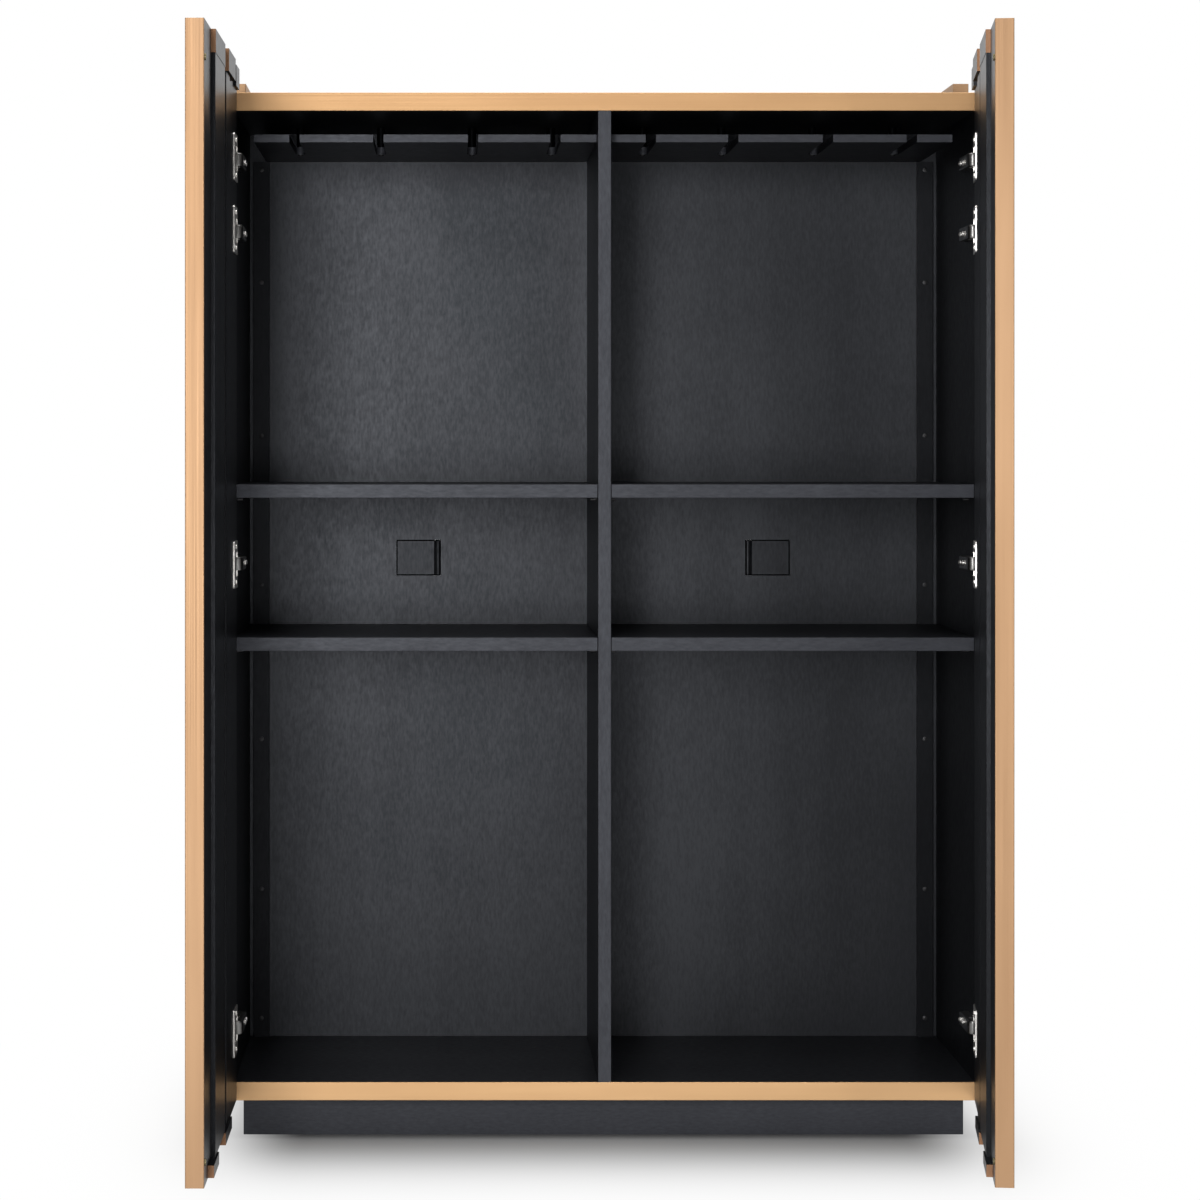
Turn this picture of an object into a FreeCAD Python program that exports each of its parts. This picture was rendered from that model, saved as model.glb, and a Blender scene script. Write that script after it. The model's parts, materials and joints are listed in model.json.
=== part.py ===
import FreeCAD, Part
import os
from FreeCAD import Vector

# Two-door bar cabinet, all lengths in millimetres.
# X runs to the right, Y runs from the front to the back, Z runs up.
# Lengths below count Y from the side panels' front edges. Each piece is saved with the
# origin on the floor, in the middle of the front plinth board's underside.

os.makedirs("parts", exist_ok=True)

# Carcass
HALF_IN = 507.0          # centre line to the inside of a side panel
SIDE_T = 16.0            # side panel thickness
SKIN_T = 2.5             # brass sheet on the outside of a side panel
CASE_D = 365.0           # depth of the side panels
RAIL_Y = 10.0            # front plane of the top and bottom boards
EDGE_T = 2.0             # brass strip on the board fronts
EDGE_R = 0.9             # easing of the brass strips
EASE_R = 0.8             # easing of the boards' front edges
BASE_Z = 54.0            # underside of the bottom board
BOARD_T = 25.0           # top and bottom board thickness
TOP_Z = 1435.0           # upper face of the top board
BACK_IN = 12.0           # back panel's inside face, ahead of the side panels' rear edges
BACK_T = 8.0
BACK_Y = CASE_D - BACK_IN
FLOOR_Z = BASE_Z + BOARD_T
CEIL_Z = TOP_Z - BOARD_T
INSIDE_H = CEIL_Z - FLOOR_Z
CROWN_H = 29.0           # how far the doors and side rails stand above the top board

# Corner battens on the back panel
BATTEN_IN = 28.8         # inner edge of a batten, from the side panel
BATTEN_W = 24.0
BATTEN_T = 6.0
BATTEN_GAP = 0.2
BATTEN_X0 = HALF_IN - BATTEN_IN
BATTEN_SCREWS = (0.0209, 0.1685, 0.3402, 0.5164, 0.6869, 0.8620, 0.9907)
SCREW_IN = 11.8          # screw line, from the batten's inner edge
SCREW_R = 1.75
SCREW_BORE = 1.8
SCREW_HEAD_R = 3.4
SCREW_HEAD_H = 1.2
SCREW_LAP = 0.5          # shank carried into the head

# Plinth
PLINTH_IN = 10.0         # plinth ends, inside the side panels' inner faces
PLINTH_Y0 = 45.0
PLINTH_BACK = 20.0       # rear board, ahead of the side panels' rear edges
PLINTH_T = 18.0
PLINTH_R = 1.0
PLINTH_HALF = HALF_IN - PLINTH_IN
PLINTH_Y1 = CASE_D - PLINTH_BACK
ORIGIN_Y = PLINTH_Y0 + PLINTH_T / 2

# Raised side rails on the top
CROWN_OVER = 6.0         # how far a rail reaches in over the top board
CROWN_Y0 = 158.0
CROWN_BACK = 6.0

# Divider and shelves
DIV_HALF = 9.0
DIV_BACK = 0.5           # divider front, behind the rails
SHELF_T = 18.6
SHELF_PARTS = {"lower": 0.44365, "upper": 0.60143}    # undersides, as parts of the inside height
SHELF_IN = 3.0           # shelf fronts, behind the rails
SHELF_GAP = 0.7          # side clearance of a shelf
SHELF_BACK = 0.3
NOTCH_GAP = 0.5
SHELF_Y0 = RAIL_Y + SHELF_IN
SHELF_Z = {name: FLOOR_Z + part * INSIDE_H for name, part in SHELF_PARTS.items()}
PIN_R = 2.5
PIN_FIT = 0.03
PIN_L = 14.0
PIN_OUT = 8.0            # length of a shelf pin that carries the shelf
PIN_HOLE = 8.0
DIV_HOLE = 7.0
PIN_Y0 = 62.0
PIN_BACK = 53.0          # rear shelf pins, ahead of the back panel
PIN_Y = (PIN_Y0, BACK_Y - PIN_BACK)

# Stemware rack
RACK_DROP = 39.0         # underside of the rack, below the ceiling
RACK_T = 10.5
RACK_Y0 = 52.0
RACK_END = 24.0          # outer end of the rack, from the side panel
RACK_GAP = 0.2
RACK_Z0 = CEIL_Z - RACK_DROP
RACK_X1 = HALF_IN - RACK_END
SLOT_X = (66.0, 180.0, 311.0, 427.0)
SLOT_W = 14.4
SLOT_BACK = 125.0        # slot ends, ahead of the back panel
RACK_SCREW_BACK = 111.0
SLOT_END = BACK_Y - SLOT_BACK
RACK_SCREW_Y = BACK_Y - RACK_SCREW_BACK
RACK_SCREW_R = 2.0
RACK_BORE = 2.05
RACK_HEAD_R = 4.0
RACK_HEAD_H = 1.8
RACK_SCREW_L = 34.0
SPACER_R = 6.0
CLEAT_T = 18.0

# Cord flaps in the back panel
FLAP_X0 = 225.0
FLAP_X1 = 291.0
FLAP_PART = 0.51127      # lower edge of an opening, as a part of the inside height
FLAP_H = 53.0
FLAP_Z0 = FLOOR_Z + FLAP_PART * INSIDE_H
FLAP_Z1 = FLAP_Z0 + FLAP_H
FLAP_T = 5.0
FLAP_GAP = 0.5
FLAP_LIP = 3.0           # lip behind the back panel, round the free sides of a flap
FLAP_LIP_T = 1.2
FLAP_LIP_GAP = 0.3
FLAP_LEAF = 2.2          # thin leaf between the barrel and the flap's full thickness
BARREL_R = 3.85
BARREL_GAP = 0.3
FLAP_PIN_R = 1.5
FLAP_PIN_L = 12.0
FLAP_PIN_FIT = 0.02
FLAP_BORE = 1.55
FLAP_PIN_X = FLAP_X0 + BARREL_R + BARREL_GAP
FLAP_PIN_Y = BACK_Y + BACK_T / 2

# Doors, laid out closed and on the right-hand side
DOOR_X0 = 1.5            # free edge
DOOR_LAP = 1.0           # hinge end, inside the side panel's outer face
DOOR_LIFT = 5.0          # lower end, above the bottom board's underside
DOOR_GAP = 5.0           # slab, ahead of the side panels
SLAB_T = 20.3            # a glued frame, hollow between its members to keep the door light
SLAB_R = 3.5             # rounding of the inner corner at the hinge end
STAVE_T = 0.8            # brass sheet on the outside
STAVES = 5
STAVE_GAP = 3.5
STRIP_T = 2.5            # brass strip on the free edge
STRIP_R = 1.0
STILE_W = 26.0           # frame members: free edge, hinge side, rails, and a mullion per gap
HINGE_STILE_W = 70.0
MULLION_W = 12.0
RAIL_H = 37.0
MID_RAIL_H = 20.0
OPEN_LEFT = 90.5         # door angle in the pose shown, in degrees
OPEN_RIGHT = 83.2
DOOR_X1 = HALF_IN + SIDE_T - DOOR_LAP
DOOR_Z0 = BASE_Z + DOOR_LIFT
DOOR_Z1 = TOP_Z + CROWN_H
DOOR_MID = (DOOR_Z0 + DOOR_Z1) / 2
SLAB_Y1 = -DOOR_GAP
SLAB_Y0 = SLAB_Y1 - SLAB_T
STAVE_Y0 = SLAB_Y0 - STAVE_T
HINGE_STILE_X = DOOR_X1 - HINGE_STILE_W

# Inner panel of a door: a thin lining over the frame that carries two raised boards
LINING_T = 2.0
BOARD_X = ((101.0, 250.0), (290.0, 349.0))
BOARD_UP = (5.5, 4.0)    # how far the raised boards stand above the lining
BOARD_R = 0.8
FOOT_H = 15.0            # lower end of the raised boards, above the door's lower end
LINING_Y1 = SLAB_Y1 + LINING_T
BOARD_Z0 = DOOR_Z0 + FOOT_H

# Concealed hinges
HINGE_IN = 7.0           # hinge axis, outside the side panel's inner face
HINGE_DEPTH = 9.0        # hinge axis, below the slab's inner face
HINGE_X = HALF_IN + HINGE_IN
HINGE_Y = SLAB_Y1 - HINGE_DEPTH
HINGE_LOW = 79.0         # lowest hinge, above the bottom board
HINGE_PART = 0.53419     # middle hinge, as a part of the inside height
HINGE_HIGH = (167.0, 69.0)
HINGE_Z = (FLOOR_Z + HINGE_LOW, FLOOR_Z + HINGE_PART * INSIDE_H,
           CEIL_Z - HINGE_HIGH[0], CEIL_Z - HINGE_HIGH[1])
ARM_HALF = 9.0
ARM_T = 6.0
ARM_REACH_T = 4.0
ARM_Y1 = 62.0
ARM_EYE_R = 3.2
ARM_BORE = 1.55
PLATE_T = 7.0
PLATE_Y = (18.0, 66.0)
CAM_R = 3.6
CAM_H = 2.4
CAM_Y = (30.0, 50.0)
CUP_IN = 30.0            # cup, from the hinge axis towards the free edge
CUP_OUT = 4.4            # cup, from the hinge axis towards the hinge end
CUP_DEPTH = 13.7
CUP_HALF = 18.0
CUP_FIT = 0.1
CUP_WALL = 0.8
CUP_END_WALL = 1.4
FLANGE_IN = 52.0
FLANGE_OUT = 4.6
FLANGE_T = 1.5
FLANGE_HALF = 32.0
FLANGE_R = 4.0
HINGE_PIN_R = 1.5
HINGE_PIN_FIT = 0.02
HINGE_PIN_END = 0.2

# Plates above and below the raised boards, and strikes
CAP_T = 2.0
CROWN_X = ((101.0, 250.0), (290.0, 405.0))
CROWN_T = (6.0, 7.5)
END_CROWN_IN = 52.0      # crown plate at the hinge end, from the hinge axis
END_CROWN_OUT = 4.0
END_CROWN_T = 4.0
END_CROWN_LIFT = 0.8
FOOT_X = ((56.0, 133.0), (237.0, 341.0))
FOOT_T = 7.5
STRIKE_IN = 7.4          # strike discs, from the free edge
STRIKE_R = 4.2
STRIKE_T = 2.0
STRIKE_LOW = 15.0
STRIKE_HIGH = 17.0
OVER = 1.0               # how far a cutter runs past the face it cuts


def box(x0, x1, y0, y1, z0, z1):
    return Part.makeBox(x1 - x0, y1 - y0, z1 - z0, Vector(x0, y0, z0))


def rod(r, h, base, axis):
    return Part.makeCylinder(r, h, Vector(*base), Vector(*axis))


def along(shape, axis):
    # straight edges of a shape that run along one axis
    out = []
    for e in shape.Edges:
        a = e.Vertexes[0].Point
        b = e.Vertexes[-1].Point
        d = b.sub(a)
        if d.Length > 1e-6 and abs(abs(d.dot(axis)) - d.Length) < 1e-6:
            out.append(e)
    return out


def eased(shape, r, axis, keep):
    # round the edges along one axis whose middle point passes the test
    picked = [e for e in along(shape, axis) if keep(e.CenterOfMass)]
    return shape.makeFillet(r, picked)


def mirrored(shape):
    return shape.mirror(Vector(0, 0, 0), Vector(1, 0, 0))


def group(solids):
    return solids[0] if len(solids) == 1 else Part.makeCompound(solids)


def save(name, shape):
    placed = shape.copy()
    placed.translate(Vector(0, -ORIGIN_Y, 0))
    placed.exportStep("parts/" + name + ".step")


def pair(name, shape):
    # the same piece on the right and, mirrored, on the left
    save(name + "_right", shape)
    save(name + "_left", mirrored(shape))


AX = Vector(1, 0, 0)
AY = Vector(0, 1, 0)
AZ = Vector(0, 0, 1)
NEAR = 0.01


# Plinth: a frame of four boards, set back under the bottom board
front = box(-PLINTH_HALF, PLINTH_HALF, PLINTH_Y0, PLINTH_Y0 + PLINTH_T, 0, BASE_Z)
front = eased(front, PLINTH_R, AZ, lambda p: p.y < PLINTH_Y0 + NEAR)
save("plinth_front", front)
save("plinth_rear", box(-PLINTH_HALF, PLINTH_HALF, PLINTH_Y1 - PLINTH_T, PLINTH_Y1, 0, BASE_Z))
pair("plinth_end", box(PLINTH_HALF - PLINTH_T, PLINTH_HALF,
                       PLINTH_Y0 + PLINTH_T, PLINTH_Y1 - PLINTH_T, 0, BASE_Z))

# Bottom and top boards with their brass front strips
board_y0 = RAIL_Y + EDGE_T
board_y1 = BACK_Y + BACK_T
for name, z0 in (("bottom", BASE_Z), ("top", CEIL_Z)):
    save(name + "_board", box(-HALF_IN, HALF_IN, board_y0, board_y1, z0, z0 + BOARD_T))
    strip = box(-HALF_IN, HALF_IN, RAIL_Y, board_y0, z0, z0 + BOARD_T)
    strip = eased(strip, EDGE_R, AX, lambda p: p.y < RAIL_Y + NEAR)
    save(name + "_edge", strip)

# Side panels, drilled for the shelf pins, and their brass outer sheets
shelf_pins = []
side = box(HALF_IN, HALF_IN + SIDE_T, 0, CASE_D, BASE_Z, TOP_Z)
div_y0 = RAIL_Y + DIV_BACK
divider = box(-DIV_HALF, DIV_HALF, div_y0, BACK_Y, FLOOR_Z, CEIL_Z)
divider = eased(divider, EASE_R, AZ, lambda p: p.y < div_y0 + NEAR)
for z0 in SHELF_Z.values():
    for y in PIN_Y:
        at = z0 - PIN_R
        hole = rod(PIN_R + PIN_FIT, PIN_HOLE, (HALF_IN, y, at), (1, 0, 0))
        side = side.cut(hole)
        peg = rod(PIN_R, PIN_L, (HALF_IN - PIN_OUT, y, at), (1, 0, 0))
        shelf_pins += [peg, mirrored(peg)]
        hole = rod(PIN_R + PIN_FIT, DIV_HOLE, (DIV_HALF - DIV_HOLE, y, at), (1, 0, 0))
        divider = divider.cut(hole).cut(mirrored(hole))
        peg = rod(PIN_R, PIN_L, (DIV_HALF + PIN_OUT - PIN_L, y, at), (1, 0, 0))
        shelf_pins += [peg, mirrored(peg)]
pair("side_panel", side)
pair("side_sheet", box(HALF_IN + SIDE_T, HALF_IN + SIDE_T + SKIN_T, 0, CASE_D, BASE_Z, TOP_Z))
save("divider", divider)
save("shelf_pins", group(shelf_pins))

# Raised side rails standing on the side panels behind the doors' swing
crown = box(HALF_IN - CROWN_OVER, HALF_IN + SIDE_T, CROWN_Y0, CASE_D - CROWN_BACK, TOP_Z, DOOR_Z1)
pair("side_crown", eased(crown, EASE_R, AZ, lambda p: p.y < CROWN_Y0 + NEAR))

# Shelves, one of each pair per bay, notched round the battens
for name, z0 in SHELF_Z.items():
    z1 = z0 + SHELF_T
    shelf = box(DIV_HALF + SHELF_GAP, HALF_IN - SHELF_GAP, SHELF_Y0, BACK_Y - SHELF_BACK, z0, z1)
    shelf = eased(shelf, EASE_R, AX, lambda p: p.y < SHELF_Y0 + NEAR)
    shelf = shelf.cut(box(BATTEN_X0 - NOTCH_GAP, HALF_IN, BACK_Y - BATTEN_T - NOTCH_GAP, BACK_Y, z0, z1))
    pair("shelf_" + name, shelf)

# Back panel with two cord openings, corner battens and their screws
back = box(-HALF_IN, HALF_IN, BACK_Y, BACK_Y + BACK_T, FLOOR_Z, CEIL_Z)
cord_pins = []
opening = box(FLAP_X0, FLAP_X1, BACK_Y - OVER, BACK_Y + BACK_T + OVER, FLAP_Z0, FLAP_Z1)
back = back.cut(opening).cut(mirrored(opening))
for z in (FLAP_Z0 - FLAP_PIN_L / 2, FLAP_Z1 - FLAP_PIN_L / 2):
    pin = rod(FLAP_PIN_R, FLAP_PIN_L, (FLAP_PIN_X, FLAP_PIN_Y, z), (0, 0, 1))
    bore = rod(FLAP_PIN_R + FLAP_PIN_FIT, FLAP_PIN_L, (FLAP_PIN_X, FLAP_PIN_Y, z), (0, 0, 1))
    back = back.cut(bore).cut(mirrored(bore))
    cord_pins += [pin, mirrored(pin)]
save("back_panel", back)
save("cord_pins", group(cord_pins))

batten_y0 = BACK_Y - BATTEN_T
batten_z1 = RACK_Z0 - BATTEN_GAP
batten = box(BATTEN_X0, BATTEN_X0 + BATTEN_W, batten_y0, BACK_Y, FLOOR_Z, batten_z1)
batten = eased(batten, EASE_R, AZ, lambda p: p.y < batten_y0 + NEAR)
back_screws = []
for part_way in BATTEN_SCREWS:
    x = BATTEN_X0 + SCREW_IN
    z = FLOOR_Z + part_way * (RACK_Z0 - FLOOR_Z)
    batten = batten.cut(rod(SCREW_BORE, BATTEN_T, (x, batten_y0, z), (0, 1, 0)))
    head = rod(SCREW_HEAD_R, SCREW_HEAD_H, (x, batten_y0 - SCREW_HEAD_H, z), (0, 1, 0))
    shank = rod(SCREW_R, BATTEN_T, (x, batten_y0 - SCREW_LAP, z), (0, 1, 0))
    head = head.fuse(shank).removeSplitter()
    back_screws += [head, mirrored(head)]
pair("back_batten", batten)
save("back_screws", group(back_screws))

# Cord flaps, hinged on the side nearest the divider and swinging to the rear
flap_z0 = FLAP_Z0 + FLAP_GAP
flap_h = FLAP_Z1 - FLAP_Z0 - 2 * FLAP_GAP
flap = box(FLAP_PIN_X, FLAP_X1 - FLAP_GAP, FLAP_PIN_Y - FLAP_T / 2, FLAP_PIN_Y + FLAP_T / 2,
           flap_z0, flap_z0 + flap_h)
lip_x0 = FLAP_PIN_X + BARREL_R + FLAP_LEAF
lip_y0 = BACK_Y + BACK_T + FLAP_LIP_GAP
lip = box(lip_x0, FLAP_X1 + FLAP_LIP, lip_y0, lip_y0 + FLAP_LIP_T, FLAP_Z0 - FLAP_LIP, FLAP_Z1 + FLAP_LIP)
plug = box(lip_x0, FLAP_X1 - FLAP_GAP, FLAP_PIN_Y, lip_y0, flap_z0, flap_z0 + flap_h)
flap = flap.fuse(plug).fuse(lip)
flap = flap.fuse(rod(BARREL_R, flap_h, (FLAP_PIN_X, FLAP_PIN_Y, flap_z0), (0, 0, 1)))
flap = flap.cut(rod(FLAP_BORE, flap_h, (FLAP_PIN_X, FLAP_PIN_Y, flap_z0), (0, 0, 1)))
pair("cord_flap", flap.removeSplitter())

# Stemware rack: a slotted board in each bay, hung below the top board
rack_x0 = DIV_HALF + RACK_GAP
rack_top = RACK_Z0 + RACK_T
gap_h = CEIL_Z - rack_top
rack = box(rack_x0, RACK_X1, RACK_Y0, BACK_Y, RACK_Z0, rack_top)
rack_spacers = []
rack_screws = []
for x in SLOT_X:
    slot = box(x - SLOT_W / 2, x + SLOT_W / 2, RACK_Y0 - OVER, SLOT_END, RACK_Z0 - OVER, rack_top + OVER)
    slot = slot.fuse(rod(SLOT_W / 2, RACK_T + 2 * OVER, (x, SLOT_END, RACK_Z0 - OVER), (0, 0, 1)))
    rack = rack.cut(slot)
    rack = rack.cut(rod(RACK_BORE, RACK_T, (x, RACK_SCREW_Y, RACK_Z0), (0, 0, 1)))
    tube = rod(SPACER_R, gap_h, (x, RACK_SCREW_Y, rack_top), (0, 0, 1))
    tube = tube.cut(rod(RACK_BORE, gap_h, (x, RACK_SCREW_Y, rack_top), (0, 0, 1)))
    screw = rod(RACK_HEAD_R, RACK_HEAD_H, (x, RACK_SCREW_Y, RACK_Z0 - RACK_HEAD_H), (0, 0, 1))
    shank = rod(RACK_SCREW_R, RACK_SCREW_L, (x, RACK_SCREW_Y, RACK_Z0 - SCREW_LAP), (0, 0, 1))
    screw = screw.fuse(shank).removeSplitter()
    rack_spacers += [tube, mirrored(tube)]
    rack_screws += [screw, mirrored(screw)]
pair("rack", rack)
save("rack_spacers", group(rack_spacers))
save("rack_screws", group(rack_screws))
pair("rack_cleat", box(rack_x0, RACK_X1, BACK_Y - CLEAT_T, BACK_Y, rack_top, CEIL_Z))

# Hinges on the carcass: mounting plates, arms that reach into the door cups, adjusting screws
plates = []
arms = []
cams = []
plate_x0 = HALF_IN - PLATE_T
arm_x0 = plate_x0 - ARM_T
arm_y0 = HINGE_Y - ARM_REACH_T / 2
for z in HINGE_Z:
    low = z - ARM_HALF
    high = z + ARM_HALF
    plate = box(plate_x0, HALF_IN, PLATE_Y[0], PLATE_Y[1], low, high)
    leg = box(arm_x0, plate_x0, arm_y0, ARM_Y1, low, high)
    reach = box(arm_x0, HINGE_X, arm_y0, arm_y0 + ARM_REACH_T, low, high)
    eye = rod(ARM_EYE_R, 2 * ARM_HALF, (HINGE_X, HINGE_Y, low), (0, 0, 1))
    arm = leg.fuse(reach).fuse(eye).removeSplitter()
    arm = arm.cut(rod(ARM_BORE, 2 * ARM_HALF, (HINGE_X, HINGE_Y, low), (0, 0, 1)))
    plates.append(plate)
    arms.append(arm)
    for y in CAM_Y:
        cams.append(rod(CAM_R, CAM_H, (arm_x0 - CAM_H, y, z), (1, 0, 0)))
pair("hinge_plates", group(plates))
pair("hinge_arms", group(arms))
pair("hinge_cams", group(cams))

# One door, laid out closed on the right-hand side: a frame that the staves and inner panel close
slab_x0 = DOOR_X0 + STRIP_T
slab = box(slab_x0, DOOR_X1, SLAB_Y0, SLAB_Y1, DOOR_Z0, DOOR_Z1)
corner = [e for e in along(slab, AZ)
          if e.CenterOfMass.x > DOOR_X1 - NEAR and e.CenterOfMass.y > SLAB_Y1 - NEAR]
slab = slab.makeFillet(SLAB_R, corner)
pitch = (DOOR_X1 - slab_x0) / STAVES
gaps_x = [slab_x0 + i * pitch - STAVE_GAP / 2 for i in range(1, STAVES)]
lefts = [slab_x0 + STILE_W] + [x + MULLION_W / 2 for x in gaps_x]
rights = [x - MULLION_W / 2 for x in gaps_x] + [HINGE_STILE_X]
lows = (DOOR_Z0 + RAIL_H, DOOR_MID + MID_RAIL_H / 2)
highs = (DOOR_MID - MID_RAIL_H / 2, DOOR_Z1 - RAIL_H)
for x0, x1 in zip(lefts, rights):
    for z0, z1 in zip(lows, highs):
        slab = slab.cut(box(x0, x1, SLAB_Y0 - OVER, SLAB_Y1 + OVER, z0, z1))

# Inner panel: a lining up to the rounded corner, with the two raised boards
panel = box(slab_x0, DOOR_X1 - SLAB_R, SLAB_Y1, LINING_Y1, DOOR_Z0, DOOR_Z1)
for (x0, x1), up in zip(BOARD_X, BOARD_UP):
    face_y = LINING_Y1 + up
    board = box(x0, x1, SLAB_Y1, face_y, BOARD_Z0, TOP_Z)
    panel = panel.fuse(eased(board, BOARD_R, AZ, lambda p: p.y > face_y - NEAR))
panel = panel.removeSplitter()

# Pressed cups let into the frame, each with a flange on its face and the pin that the arm turns on
cups = []
pins = []
cup_x0 = HINGE_X - CUP_IN
cup_x1 = HINGE_X + CUP_OUT
cup_y0 = SLAB_Y1 - CUP_DEPTH
pin_half = CUP_HALF - HINGE_PIN_END
for z in HINGE_Z:
    recess = box(cup_x0, cup_x1, cup_y0, LINING_Y1 + OVER, z - CUP_HALF, z + CUP_HALF)
    slab = slab.cut(recess)
    panel = panel.cut(recess)
    cup = box(cup_x0 + CUP_FIT, cup_x1 - CUP_FIT, cup_y0 + CUP_FIT, LINING_Y1,
              z - CUP_HALF + CUP_FIT, z + CUP_HALF - CUP_FIT)
    flange = box(HINGE_X - FLANGE_IN, HINGE_X + FLANGE_OUT, LINING_Y1, LINING_Y1 + FLANGE_T,
                 z - FLANGE_HALF, z + FLANGE_HALF)
    cup = cup.fuse(eased(flange, FLANGE_R, AY, lambda p: True))
    wall = CUP_FIT + CUP_WALL
    end = CUP_FIT + CUP_END_WALL
    cup = cup.cut(box(cup_x0 + wall, cup_x1 - wall, cup_y0 + wall, LINING_Y1 + FLANGE_T + OVER,
                      z - CUP_HALF + end, z + CUP_HALF - end))
    cup = cup.cut(rod(HINGE_PIN_R + HINGE_PIN_FIT, 2 * CUP_HALF, (HINGE_X, HINGE_Y, z - CUP_HALF), (0, 0, 1)))
    cups.append(cup.removeSplitter())
    pins.append(rod(HINGE_PIN_R, 2 * pin_half, (HINGE_X, HINGE_Y, z - pin_half), (0, 0, 1)))

# Free-edge strip in brass, and plain brass sheet staves over the outside of the frame
edge = box(DOOR_X0, slab_x0, STAVE_Y0, LINING_Y1, DOOR_Z0, DOOR_Z1)
edge = eased(edge, STRIP_R, AZ, lambda p: p.x < DOOR_X0 + NEAR)
staves = []
for i in range(STAVES):
    x0 = slab_x0 + i * pitch
    x1 = x0 + pitch - (STAVE_GAP if i < STAVES - 1 else 0.0)
    staves.append(box(x0, x1, STAVE_Y0, SLAB_Y0, DOOR_Z0, DOOR_Z1))

# Battlement plates above and below the raised boards, with brass caps on their leading ends
crown_plates = []
foot_plates = []
caps = []
for (x0, x1), t in zip(CROWN_X, CROWN_T):
    crown_plates.append(box(x0 + CAP_T, x1, LINING_Y1, LINING_Y1 + t, TOP_Z, DOOR_Z1))
    caps.append(box(x0, x0 + CAP_T, LINING_Y1, LINING_Y1 + t, TOP_Z, DOOR_Z1))
crown_plates.append(box(HINGE_X - END_CROWN_IN, HINGE_X + END_CROWN_OUT, LINING_Y1, LINING_Y1 + END_CROWN_T,
                        TOP_Z + END_CROWN_LIFT, DOOR_Z1))
for x0, x1 in FOOT_X:
    foot_plates.append(box(x0 + CAP_T, x1, LINING_Y1, LINING_Y1 + FOOT_T, DOOR_Z0, BOARD_Z0))
    caps.append(box(x0, x0 + CAP_T, LINING_Y1, LINING_Y1 + FOOT_T, DOOR_Z0, BOARD_Z0))

# Strike discs near the free edge
strike_z = (BOARD_Z0 + STRIKE_LOW, TOP_Z - STRIKE_HIGH)
strikes = [rod(STRIKE_R, STRIKE_T, (DOOR_X0 + STRIKE_IN, LINING_Y1, z), (0, 1, 0)) for z in strike_z]

door = {
    "slab": slab,
    "staves": group(staves),
    "edge": edge,
    "inner_panel": panel,
    "crown_plates": group(crown_plates),
    "foot_plates": group(foot_plates),
    "end_caps": group(caps),
    "hinge_cups": group(cups),
    "hinge_pins": group(pins),
    "strikes": group(strikes),
}
for name, shape in door.items():
    right = shape.copy()
    right.rotate(Vector(HINGE_X, HINGE_Y, 0), AZ, OPEN_RIGHT)
    save("door_right_" + name, right)
    left = mirrored(shape)
    left.rotate(Vector(-HINGE_X, HINGE_Y, 0), AZ, -OPEN_LEFT)
    save("door_left_" + name, left)
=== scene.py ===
# %% [markdown]
# A tall bar cabinet stands open: brass-edged doors swung forward, a black two-bay inside with
# shelves, a slotted rack for stemware, and small cord flaps in the back. The solids of the cabinet
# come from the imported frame. This script gives them their finishes, adds the small hardware that
# catches the light, and sets up the floor, the lamps and the camera.

# %% Load the frame
import json
import math

import bmesh
import bpy
import numpy as np
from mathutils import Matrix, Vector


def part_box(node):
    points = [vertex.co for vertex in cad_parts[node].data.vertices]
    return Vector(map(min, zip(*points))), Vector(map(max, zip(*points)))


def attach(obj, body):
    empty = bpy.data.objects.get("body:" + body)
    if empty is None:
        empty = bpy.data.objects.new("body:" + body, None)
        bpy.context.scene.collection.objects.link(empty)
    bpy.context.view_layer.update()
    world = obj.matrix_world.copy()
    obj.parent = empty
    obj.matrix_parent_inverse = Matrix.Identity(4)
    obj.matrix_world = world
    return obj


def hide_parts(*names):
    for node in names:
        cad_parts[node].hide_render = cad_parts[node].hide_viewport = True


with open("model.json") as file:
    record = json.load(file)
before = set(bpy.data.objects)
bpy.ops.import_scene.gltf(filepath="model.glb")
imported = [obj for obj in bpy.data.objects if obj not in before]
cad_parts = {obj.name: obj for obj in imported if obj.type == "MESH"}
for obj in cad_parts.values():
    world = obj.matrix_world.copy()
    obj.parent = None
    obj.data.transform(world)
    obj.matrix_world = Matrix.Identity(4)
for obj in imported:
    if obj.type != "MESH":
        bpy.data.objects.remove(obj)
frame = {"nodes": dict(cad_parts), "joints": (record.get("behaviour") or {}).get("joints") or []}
nodes = frame["nodes"]
joints = {j["name"]: j for j in frame["joints"]}
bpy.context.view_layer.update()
print("pieces in the frame:", len(nodes), "joints:", sorted(joints))

# %% [markdown]
# Every finish below is a small node graph around one Principled shader. A few helpers keep the graphs
# readable: one adds a node and fills its sockets, one opens a new material, and the others stand for
# the steps that every finish repeats. Patterns read Object coordinates, which are metres here because
# every piece sits at the origin.

# %% Node helpers
def fill(tree, socket, value):
    """Link a socket to another one, or set it to a number or colour."""
    if isinstance(value, bpy.types.NodeSocket):
        tree.links.new(value, socket)
    else:
        socket.default_value = value


def add(tree, kind, **sockets):
    """Add a node; each keyword is a socket name with _ for a space, given a value or a link."""
    made = tree.nodes.new(kind)
    for name, value in sockets.items():
        fill(tree, made.inputs[name.replace("_", " ")], value)
    return made


def combine(tree, operation, first, second=0.0):
    """One step of arithmetic on one or two values, each a number or a link."""
    made = tree.nodes.new("ShaderNodeMath")
    made.operation = operation
    for socket, value in zip(made.inputs, (first, second)):
        fill(tree, socket, value)
    return made.outputs[0]


def axes_of(tree, kind):
    """The X, Y and Z of a texture coordinate, such as Object or Normal."""
    place = tree.nodes.new("ShaderNodeTexCoord").outputs[kind]
    return add(tree, "ShaderNodeSeparateXYZ", Vector=place).outputs


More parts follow.
